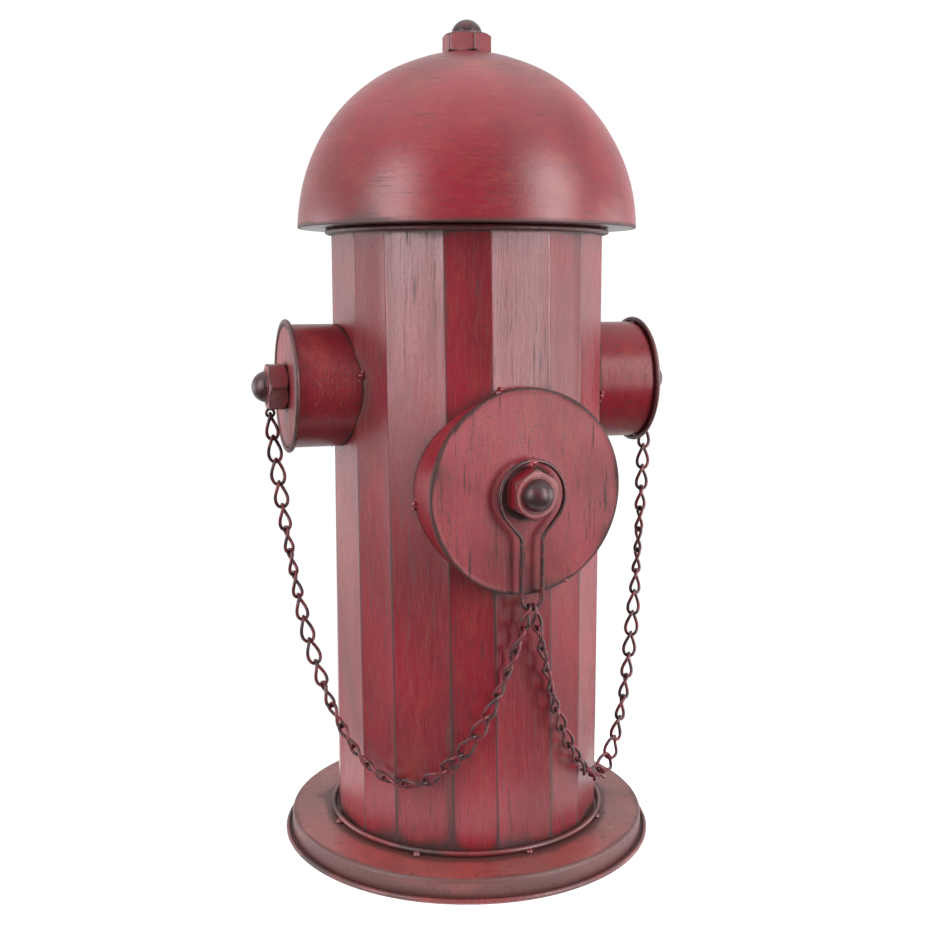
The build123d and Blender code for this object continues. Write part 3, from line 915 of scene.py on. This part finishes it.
@dataclass
class Lid:
    """Spun dome closed by a flat plate, the band that centres it, and the nut and ball on top."""

    workshop: Workshop
    sheet: float = 1.0 * MM
    segments: int = 256

    def build(self) -> None:
        """Makes the lid's pieces."""
        low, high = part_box("lid_dome")
        radius = (high.x - low.x) / 2
        centre = high.z - radius
        finishes = self.workshop.finishes
        angle = np.radians(np.linspace(0, 90, 96))
        skirt = np.array([[radius, low.z + 0.25 * MM], [radius, centre]])
        outer = np.stack([radius * np.cos(angle), centre + radius * np.sin(angle)], 1)
        within = radius - self.sheet
        inner = np.stack([within * np.cos(angle[::-1]), centre + within * np.sin(angle[::-1])], 1)
        edge = np.array([[within, low.z + 0.25 * MM], [within + 0.3 * MM, low.z], [radius - 0.3 * MM, low.z]])
        outline = np.concatenate([skirt[:1], outer, inner, edge])
        points = ring_points(outline, self.segments)
        off_axis = np.hypot(points[..., 0], points[..., 1])
        dent = wander(points, 0.35 * MM, 70 * MM, 31) - 0.35 * MM
        fade = np.clip((points[..., 2] - low.z) / 0.01, 0, 1) * np.clip((off_axis - 0.014) / 0.01, 0, 1)
        shrink = 1 + (dent * fade / radius)[..., None]
        points = (points - np.array([0, 0, centre])) * shrink + np.array([0, 0, centre])
        # Painted shade: the dark edge at the rim stands for the shadowed gap under the lid, and a wider band
        # darkens the dome towards its rim; the ring round the nut is stain.
        wear_and_shade = near(points[..., 2] - low.z, 0.8 * MM) + 0.7 * near(off_axis - WELD_WEAR_RADIUS, 1.3 * MM)
        wear_and_shade = wear_and_shade + 0.22 * near(points[..., 2] - low.z, 7 * MM) + 0.05 + wander(points, 0.3, 34 * MM, 33)
        dome = Surface(points, np.clip(wear_and_shade, 0, 1))
        self.workshop.add("lid_dome_skin", [dome], finishes.dome, Slot.RED, "lid_dome", Body.LID)
        # The plate takes the near-black paint that stands for the shade under the lid.
        self.flat_ring("lid_base_plate", 0.0, finishes.under)
        band_low, band_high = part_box("lid_locating_band")
        self.flat_ring("lid_locating_band", (band_high.x - band_low.x) / 2 - SHEET, finishes.rim)
        top = centre + math.sqrt(radius**2 - NUT_CORNER**2)
        NutAndBall(self.workshop, "lid", Place((0.0, 0.0, top)), 90.0, Body.LID).build()

    def flat_ring(self, node: str, hole: float, finish: bpy.types.Material) -> None:
        """Disc or ring of sheet in place of a CAD node, with softened edges."""
        low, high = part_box(node)
        radius = (high.x - low.x) / 2
        soft = 0.2 * MM
        within = soft if hole else 0.0
        lower = [(hole, low.z, within), (radius, low.z, soft)]
        corners = lower + [(radius, high.z, soft), (hole, high.z, within)]
        points = ring_points(densified(rounded(corners, steps=3), 4 * MM), self.segments)
        self.workshop.add(f"{node}_sheet", [Surface(points, np.array(0.1))], finish, Slot.RED, node, Body.LID)


@dataclass
class Outlet:
    """Drum, cap, bead, nut, ball and weld tacks of one outlet."""

    workshop: Workshop
    size: OutletSize

    def build(self) -> None:
        """Makes the drum, then the cap that this outlet has."""
        size, finishes = self.size, self.workshop.finishes
        end = size.reach - 0.85 * MM
        outer = drum_skin(size, size.drum, end, False)
        inner = drum_skin(size, size.drum - SHEET, end, True)
        points = outlet_place(size.azimuth, 0.0, size.height).put(np.concatenate([outer, inner]))
        rows = np.concatenate([np.linspace(0, 1, 40), np.linspace(1, 0, 40)])[:, None]
        length = (end - outer[0, :, 2])[None]
        from_body, from_cap = rows * length, (1 - rows) * length
        # Painted shade: the drum darkens next to the body, for the shade in the gap where it meets the sheet.
        wear_and_shade = near(from_body, 0.9 * MM) + 0.25 * near(from_body, 4 * MM) + 0.9 * near(from_cap, 0.7 * MM)
        drum = Surface(points, np.clip(wear_and_shade, 0, 1))
        node = f"{size.side}_outlet_drum"
        self.workshop.add(f"{node}_sheet", [drum], finishes.drum, Slot.RED, node)
        if size is FRONT:
            self.front_cap()
        else:
            self.side_cap()
        face = outlet_place(size.azimuth, size.reach + 0.05 * MM, size.height)
        NutAndBall(self.workshop, f"{size.side}_cap", face, 30.0 if size is FRONT else 0.0).build()

    def side_cap(self) -> None:
        """Flat disc with a wire bead round it."""
        size, finishes = self.size, self.workshop.finishes
        place = outlet_place(size.azimuth, size.reach - SHEET, size.height)
        soft = 0.15 * MM
        outline = rounded([(0, 0, 0), (size.drum, 0, soft), (size.drum, SHEET, soft), (0, SHEET, 0)], steps=3)
        points = ring_points(densified(outline, 1.5 * MM), 128)
        radius = np.hypot(points[..., 0], points[..., 1])
        wear_and_shade = 0.85 * near(radius - size.drum, 1.4 * MM) + 0.9 * near(radius - WELD_WEAR_RADIUS, 0.8 * MM)
        disc = Surface(place.put(points), np.clip(wear_and_shade, 0, 1))
        node = f"{size.side}_cap_disc"
        self.workshop.add(f"{node}_sheet", [disc], finishes.cap, Slot.RED, node)
        path = place.put(unit_circle(128) * (size.drum + 0.05 * MM + 1.1 * MM) + np.array([0, 0, SHEET / 2]))
        bead = Surface(tube_points(path, 1.08 * MM, 12, True), np.array(0.45))
        node = f"{size.side}_cap_bead"
        self.workshop.add(f"{node}_wire", [bead], finishes.rim, Slot.WIRE_EDGE, node)

    def front_cap(self) -> None:
        """Disc with its edge turned back over the drum."""
        size, finishes = self.size, self.workshop.finishes
        depth, radius = 2.2 * MM, size.drum + 0.05 * MM + SHEET
        place = outlet_place(size.azimuth, size.reach - depth, size.height)
        outline = rounded(
            [
                (0, depth, 0),
                (radius, depth, 0.5 * MM),
                (radius, 0, 0.2 * MM),
                (radius - SHEET, 0, 0.2 * MM),
                (radius - SHEET, depth - SHEET, 0.1 * MM),
                (0, depth - SHEET, 0),
            ],
            steps=4,
        )
        points = ring_points(densified(outline, 1.2 * MM), 220)
        off_axis = np.hypot(points[..., 0], points[..., 1])
        face = (points[..., 2] > depth - 0.1 * MM) & (off_axis < radius - 1.5 * MM)
        dent = wander(points, 0.18 * MM, 30 * MM, 41) - 0.18 * MM
        points[..., 2] += np.where(face, dent * np.clip((off_axis - 0.012) / 0.006, 0, 1), 0)
        wear_and_shade = near(off_axis - radius, 0.45 * MM) + 0.28 * near(off_axis - radius, 3.5 * MM)
        # Painted shade: a dark ring at the nut's edge and a broad dark haze round it stand for the shade of
        # the nut and the hanger's loop on the cap.
        wear_and_shade = wear_and_shade + 0.95 * near(off_axis - 10.3 * MM, 1.0 * MM) + 0.18 * near(off_axis - 9 * MM, 8 * MM)
        wear_and_shade = wear_and_shade + 0.10 + wander(points, 0.35, 26 * MM, 43)
        cap = Surface(place.put(points), np.clip(wear_and_shade, 0, 1))
        self.workshop.add("front_cap_sheet", [cap], finishes.cap, Slot.RED, "front_cap")


@dataclass
class Hanger:
    """Keyhole of wire round the front nut, with two legs joined at the bottom, and its tacks."""

    workshop: Workshop
    loop: float = 14.6 * MM
    drop: float = 1.0 * MM
    opening: float = 50.0
    leg: float = 4.7 * MM
    neck: float = 3.5 * MM
    length: float = 48.0 * MM
    standoff: float = 4.0 * MM
    thick: float = 0.88 * MM
    lumps: tuple[tuple[tuple[float, float, float], tuple[float, float, float]], ...] = (
        ((0.0, 12.6, 0.2), (2.3, 1.5, 1.4)),
        ((1.7, 13.4, 0.0), (1.6, 0.9, 1.1)),
        ((-1.5, 12.2, 0.6), (1.3, 1.2, 1.1)),
        ((0.6, 14.6, -0.6), (0.8, 0.8, 0.8)),
        ((4.7, -41.2, -1.6), (1.15, 1.3, 2.3)),
        ((4.6, -43.2, -0.2), (1.1, 1.5, 1.1)),
        ((-4.9, -20.6, 0.6), (0.7, 0.5, 0.6)),
        ((18.0, -38.4, -4.3), (1.2, 0.8, 0.7)),
        ((25.0, -34.4, -4.4), (0.9, 0.7, 0.6)),
    )  # middle and half size of each weld lump, in millimetres

    def half(self) -> np.ndarray:
        """Right half of the wire from the top of the loop to the bottom, as points (across, up)."""
        opening = math.radians(self.opening)
        end = np.array([math.sin(opening) * self.loop, -math.cos(opening) * self.loop - self.drop])
        run = (end[0] - self.leg) / math.cos(opening)
        neck = end - np.array([math.cos(opening), math.sin(opening)]) * run
        sweep = np.linspace(math.pi / 2, opening - math.pi / 2, 60)
        loop = np.stack([self.loop * np.cos(sweep), self.loop * np.sin(sweep) - self.drop], 1)
        foot = np.array([self.leg, self.leg - self.length])
        corner = rounded([(*loop[-1], 0), (*neck, self.neck), (*foot, 0)], closed=False, steps=10)
        turn = np.linspace(0, -math.pi / 2, 16)
        bottom = np.stack([self.leg * np.cos(turn), foot[1] + self.leg * np.sin(turn)], 1)
        return np.concatenate([loop, densified(corner, 1.5 * MM, closed=False)[1:], bottom[1:]])

    def build(self) -> None:
        """Makes the wire and the weld lumps that hold it."""
        half = self.half()
        other = half[::-1][1:-1] * np.array([-1, 1])
        flat = np.concatenate([half, other])
        uneven = wander(np.concatenate([flat, np.zeros((len(flat), 1))], 1), 0.25 * MM, 22 * MM, 51)
        place = outlet_place(FRONT.azimuth, FRONT.reach + self.standoff, FRONT.height)
        path = place.put(np.concatenate([flat, uneven[:, None]], 1))
        finishes = self.workshop.finishes
        wire = Surface(tube_points(path, self.thick, 12, True), np.array(0.3))
        self.workshop.add("wire_hanger_wire", [wire], finishes.wire, Slot.CHAIN, "wire_hanger")
        lumps = [self.lump(place, centre, half, seed) for seed, (centre, half) in enumerate(self.lumps, 1)]
        self.workshop.add("hanger_weld_lumps", lumps, finishes.nut, Slot.CHAIN, "hanger_tacks")

    @staticmethod
    def lump(
        place: Place, centre: tuple[float, float, float], half: tuple[float, float, float], seed: int
    ) -> Surface:
        """Weld lump on the hanger, in millimetres on its axes."""
        bead = weld_bead(tuple(v * MM for v in centre), tuple(v * MM for v in half), seed + 60)
        return Surface(place.put(bead.points), np.array(0.25), close_rows=False)


@dataclass
class Tacks:
    """Weld beads between the drums and the body, and spatter beside them."""

    workshop: Workshop
    size: float = 1.7 * MM

    def build(self) -> None:
        """Puts one bead at each tack, where the drum meets the folds."""
        beads = []
        for outlet in OUTLETS:
            for index, turn in enumerate(outlet.tacks):
                across, up = (outlet.drum * way(math.radians(turn)) for way in (math.cos, math.sin))
                out = math.sqrt(BODY_RADIUS**2 - across**2)
                place = outlet_place(outlet.azimuth, out, outlet.height)
                centre = place.put(np.array([across, up, 0.0]))
                seed = index + int(outlet.drum / MM)
                beads.append(weld_bead(tuple(centre), (self.size,) * 3, seed))
                for way in (-1, 1):
                    beside = centre + np.array([0.3, -0.2, 1.0]) * way * self.size * 1.1
                    beads.append(weld_bead(tuple(beside), (self.size * 0.62,) * 3, seed + way * 7))
        finish = self.workshop.finishes.nut
        self.workshop.add("outlet_weld_beads", beads, finish, Slot.RED, "outlet_tacks")


@dataclass
class Chains:
    """The two chains and their eyes. Each link is a loop of wire turned a quarter round between its ends."""

    workshop: Workshop
    pitch: float = 9.9 * MM
    reach: float = 5.58 * MM
    half_width: float = 3.13 * MM
    thick: float = 0.74 * MM
    roundness: float = 0.85
    sway: float = 22.0  # degrees that links roll to and fro along a chain

    def build(self) -> None:
        """Makes both chains and smooth copies of their eyes."""
        for side, count, body in (("left", 28, Body.LEFT_CHAIN), ("right", 29, Body.RIGHT_CHAIN)):
            self.links(f"{side}_chain_links", count, body)
            self.smooth_copy(f"{side}_chain_eye")

    def loop(self, seed: int) -> np.ndarray:
        """Middle line of a link.

        Args:
            seed: picks how it is bent by hand.

        Returns:
            Points (n, 3): along is reach * cos t, across is half_width * |sin t|^roundness with the sign of
            sin t, and the plane of the link turns by 45 degrees * cos t about its length.
        """
        turn = np.linspace(0, 2 * math.pi, 44, endpoint=False)
        along, sine = np.cos(turn), np.sin(turn)
        across = self.half_width * np.sign(sine) * np.abs(sine) ** self.roundness
        twist = math.pi / 4 * along
        line = np.stack([self.reach * along, across * np.cos(twist), across * np.sin(twist)], 1)
        return line + np.stack([wander(line, 0.12 * MM, 9 * MM, seed + way) for way in range(3)], 1)

    def links(self, node: str, count: int, body: Body) -> None:
        """Puts a twisted link in place of each link of a CAD chain.

        Args:
            node: the chain's node.
            count: how many links it has. Its triangles come link by link, as many for each.
            body: the body that the chain is.
        """
        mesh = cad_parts[node].data
        corners = np.empty(len(mesh.vertices) * 3, np.float32)
        mesh.vertices.foreach_get("co", corners)
        corners = corners.reshape(count, -1, 3).astype(float)
        middles = corners.mean(axis=1)
        surfaces = []
        for index, (middle, points) in enumerate(zip(middles, corners)):
            along = np.linalg.svd((points - middle)[::7], full_matrices=False)[2][0]
            onward = middles[min(index + 1, count - 1)] - middles[max(index - 1, 0)]
            along = along * np.sign(along @ onward)
            out = np.array([middle[0], middle[1], 0.0])
            out -= (out @ along) * along
            out /= np.linalg.norm(out)
            share = index / (count - 1)
            roll = math.radians(45 + self.sway * math.sin(7 * math.pi * share))
            facing = out * math.cos(roll) + np.cross(along, out) * math.sin(roll)
            place = Place(tuple(middle), tuple(along), tuple(np.cross(facing, along)), tuple(facing))
            tube = tube_points(place.put(self.loop(index)), self.thick, 10, True)
            surfaces.append(Surface(tube, np.array(0.2)))
        self.workshop.add(f"{node}_twisted", surfaces, self.workshop.finishes.chain, Slot.CHAIN, node, body)

    def smooth_copy(self, node: str) -> None:
        """Copies a CAD node's mesh, merges its loose triangles and shades it smoothly."""
        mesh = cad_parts[node].data.copy()
        mesh.name = f"{node}_wire"
        shape = bmesh.new()
        shape.from_mesh(mesh)
        bmesh.ops.remove_doubles(shape, verts=shape.verts, dist=0.001 * MM)
        shape.to_mesh(mesh)
        shape.free()
        mesh.polygons.foreach_set("use_smooth", np.ones(len(mesh.polygons), bool))
        piece = bpy.data.objects.new(mesh.name, mesh)
        bpy.context.scene.collection.objects.link(piece)
        self.workshop.hand_over(piece, self.workshop.finishes.chain, Slot.CHAIN, node)


# ---- floor, light and camera ----


@dataclass
class Studio:
    """White studio: pale floor, white surroundings, large soft lights and the camera."""

    azimuth: float = -17.3
    pitch: float = 8.288
    distance: float = 0.5586
    height: float = 0.2511
    side_shift: float = -0.0018
    lens: float = 48.43
    floor_radius: float = 0.14
    seen_level: float = 1.05
    front_level: float = 0.20
    back_level: float = 0.95

    def build(self) -> None:
        """Sets up the floor, the world, the lights and the camera."""
        self.floor()
        self.world()
        self.light("box_left", (-0.65, -0.58, 0.45), (0.44, 0.76), 7.4)
        self.light("box_right", (0.715, -0.48, 0.42), (0.42, 0.88), 10.0)
        self.light("side_left", (-0.85, 0.22, 0.17), (0.50, 0.42), 2.2)
        self.light("side_right", (0.85, 0.22, 0.17), (0.50, 0.42), 2.2)
        self.light("top", (0.0, 0.0, 1.15), (1.5, 1.1), 3.8)
        self.camera()

    def turned(self, across: float, along: float, up: float) -> Vector:
        """Point given in the camera's heading: across to its right, along away from it."""
        return Matrix.Rotation(math.radians(self.azimuth), 3, "Z") @ Vector((across, along, up))

    def floor(self) -> None:
        """Round pale floor, gently uneven in tone, that glows a little to stay white under the object."""
        mesh = bpy.data.meshes.new("floor")
        rim = unit_circle(96) * self.floor_radius
        mesh.from_pydata(rim.tolist(), [], [tuple(range(len(rim)))])
        floor = bpy.data.objects.new("floor", mesh)
        bpy.context.scene.collection.objects.link(floor)
        tree = PaintTree("floor_white")
        tone = tree.noise(6.0, (1, 1, 1), 2.0, 0.5)
        tree.feed("Base Color", tree.blend(tone, (0.90, 0.90, 0.90, 1), (0.93, 0.93, 0.93, 1)))
        tree.feed("Roughness", 0.9)
        tree.feed("Specular IOR Level", 0.1)
        tree.feed("Emission Color", (1, 1, 1, 1))
        tree.feed("Emission Strength", 0.32)
        mesh.materials.append(tree.owner)

    def world(self) -> None:
        """White all round for the eye. As light it is bright behind the object and dim in front of it."""
        world = bpy.data.worlds.new("studio_white")
        tree = NodeTree(world, "Background")
        way = tree.add("ShaderNodeTexCoord", {}, output="Generated")
        settings = {"operation": "DOT_PRODUCT"}
        heading = tree.add("ShaderNodeVectorMath", settings, way, self.turned(0.0, 1.0, 0.6), output="Value")
        settings = {"interpolation_type": "SMOOTHSTEP"}
        levels = (self.front_level, self.back_level)
        shade = tree.add("ShaderNodeMapRange", settings, heading, -0.7, 0.3, *levels)
        seen = tree.add("ShaderNodeLightPath", {}, output="Is Camera Ray")
        tree.feed("Strength", tree.add("ShaderNodeMix", {}, seen, None, shade, self.seen_level))
        tree.feed("Color", (1, 1, 1, 1))
        bpy.context.scene.world = world

    def light(
        self, name: str, where: tuple[float, float, float], size: tuple[float, float], power: float
    ) -> None:
        """Area light that looks at the body's middle.

        Args:
            name: name of the light.
            where: across, along and up in the camera's heading.
            size: width and height.
            power: watts.
        """
        lamp = bpy.data.lights.new(name, "AREA")
        lamp.shape, lamp.size, lamp.size_y, lamp.energy = "RECTANGLE", size[0], size[1], power
        holder = bpy.data.objects.new(name, lamp)
        bpy.context.scene.collection.objects.link(holder)
        spot = self.turned(*where)
        holder.location = spot
        holder.rotation_mode = "QUATERNION"
        holder.rotation_quaternion = (Vector((0, 0, 0.17)) - spot).to_track_quat("-Z", "Y")

    def camera(self) -> None:
        """Camera in front of the object and a little to its left, looking slightly down."""
        data = bpy.data.cameras.new("camera")
        data.lens, data.sensor_width = self.lens, 36.0
        data.clip_start, data.clip_end = 0.01, 20.0
        camera = bpy.data.objects.new("camera", data)
        bpy.context.scene.collection.objects.link(camera)
        place = Matrix.Translation(self.turned(self.side_shift, -self.distance, self.height))
        heading = Matrix.Rotation(math.radians(self.azimuth), 4, "Z")
        camera.matrix_world = place @ heading @ Matrix.Rotation(math.radians(90 - self.pitch), 4, "X")
        bpy.context.scene.camera = camera


def main() -> None:
    """Builds the hydrant from the base up, then the studio."""
    logging.basicConfig(level=logging.INFO, format="%(name)s %(message)s")
    workshop = Workshop()
    Base(workshop).build()
    FoldedBody(workshop).build()
    for size in OUTLETS:
        Outlet(workshop, size).build()
    Hanger(workshop).build()
    Tacks(workshop).build()
    Chains(workshop).build()
    Lid(workshop).build()
    LOG.info("%d new pieces", workshop.count)
    Studio().build()
    bpy.context.scene.view_settings.view_transform = "Standard"


if __name__ == "__main__":
    main()
